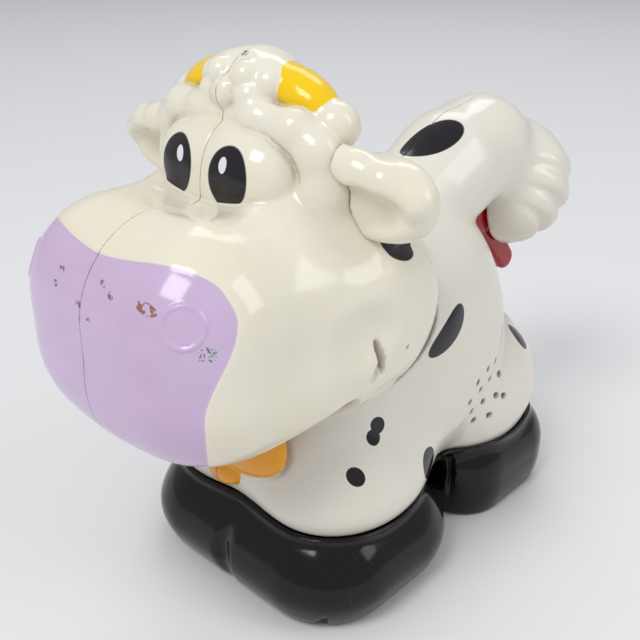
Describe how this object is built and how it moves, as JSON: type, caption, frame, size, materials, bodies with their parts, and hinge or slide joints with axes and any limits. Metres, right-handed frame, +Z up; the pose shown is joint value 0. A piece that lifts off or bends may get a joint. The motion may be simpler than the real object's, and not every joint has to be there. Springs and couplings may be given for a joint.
{
  "type": "toy flashlight",
  "caption": "Cow-shaped toy flashlight: squeezing a trigger under the tail lifts the head off a battery lamp, and a speaker in the flank makes its sound.",
  "frame": {"origin": "under the middle of the toy, on the ground that the hooves stand on", "axes": "+Z up; the cow faces -Y; the cow's left side is +X"},
  "size_m": [0.1117, 0.1911, 0.1552],
  "materials": {
    "cream_plastic": "slightly yellowed ivory plastic with painted patches",
    "black_plastic": "glossy near-black",
    "red_plastic": "satin deep red",
    "grey_plastic": "plain moulded grey",
    "clear_plastic": "clear",
    "bulb_glass": "clear",
    "reflector_silver": "vacuum-metallised plastic",
    "steel": "plated",
    "board_green": "solder mask",
    "battery_jacket": "printed jacket, left plain"
  },
  "bodies": {
    "case": {"battery_1": "battery_jacket", "battery_2": "battery_jacket", "battery_door": "cream_plastic", "battery_tray": "grey_plastic", "body_left_shell": "cream_plastic", "body_right_shell": "cream_plastic", "bulb": "bulb_glass", "bulb_socket": "steel", "case_screw_1": "steel", "case_screw_2": "steel", "case_screw_3": "steel", "case_screw_4": "steel", "circuit_board": "board_green", "contact_plate_1": "steel", "contact_plate_2": "steel", "contact_spring_1": "steel", "contact_spring_2": "steel", "door_screw": "steel", "front_hooves": "black_plastic", "lamp_housing": "grey_plastic", "lens": "clear_plastic", "lower_jaw": "cream_plastic", "neck_drum": "cream_plastic", "rear_hooves": "black_plastic", "reflector": "reflector_silver", "return_spring": "steel", "sound_chip": "black_plastic", "speaker": "black_plastic", "switch_body": "grey_plastic", "trigger_pin": "steel"},
    "head": {"head_left_shell": "cream_plastic", "head_right_shell": "cream_plastic", "left_ear": "cream_plastic", "right_ear": "cream_plastic", "head_axle": "steel", "head_lever": "grey_plastic", "lever_pin": "steel", "head_screw_1": "steel", "head_screw_2": "steel"},
    "trigger": {"trigger": "red_plastic", "crank_pin": "steel"},
    "rod": {"link_rod": "grey_plastic"},
    "plunger": {"switch_plunger": "red_plastic"}
  },
  "joints": [
    {"name": "head_tilt", "type": "hinge", "parent": "case", "child": "head", "pos_m": [0, -0.028, 0.094], "axis": [-1, 0, 0], "range_deg": [0, 25]},
    {"name": "trigger_squeeze", "type": "hinge", "parent": "case", "child": "trigger", "pos_m": [0, 0.046, 0.098], "axis": [1, 0, 0], "range_deg": [0, 17.9], "stiffness_Nm_per_rad": 0.05, "springref_deg": -5.73, "deforming": ["return_spring"]},
    {"name": "rod_turn", "type": "hinge", "parent": "trigger", "child": "rod", "pos_m": [0, 0.042, 0.112], "axis": [1, 0, 0], "range_deg": [-18, 0]},
    {"name": "switch_press", "type": "slide", "parent": "case", "child": "plunger", "axis": [0, 0, -1], "range_m": [0, 0.0036]}
  ],
  "couplings": [
    {"joint": "trigger_squeeze", "follows": "head_tilt", "ratio": 0.7123},
    {"joint": "rod_turn", "follows": "head_tilt", "ratio": -0.7141},
    {"joint": "switch_press", "follows": "head_tilt", "m_per_rad": 0.008}
  ]
}
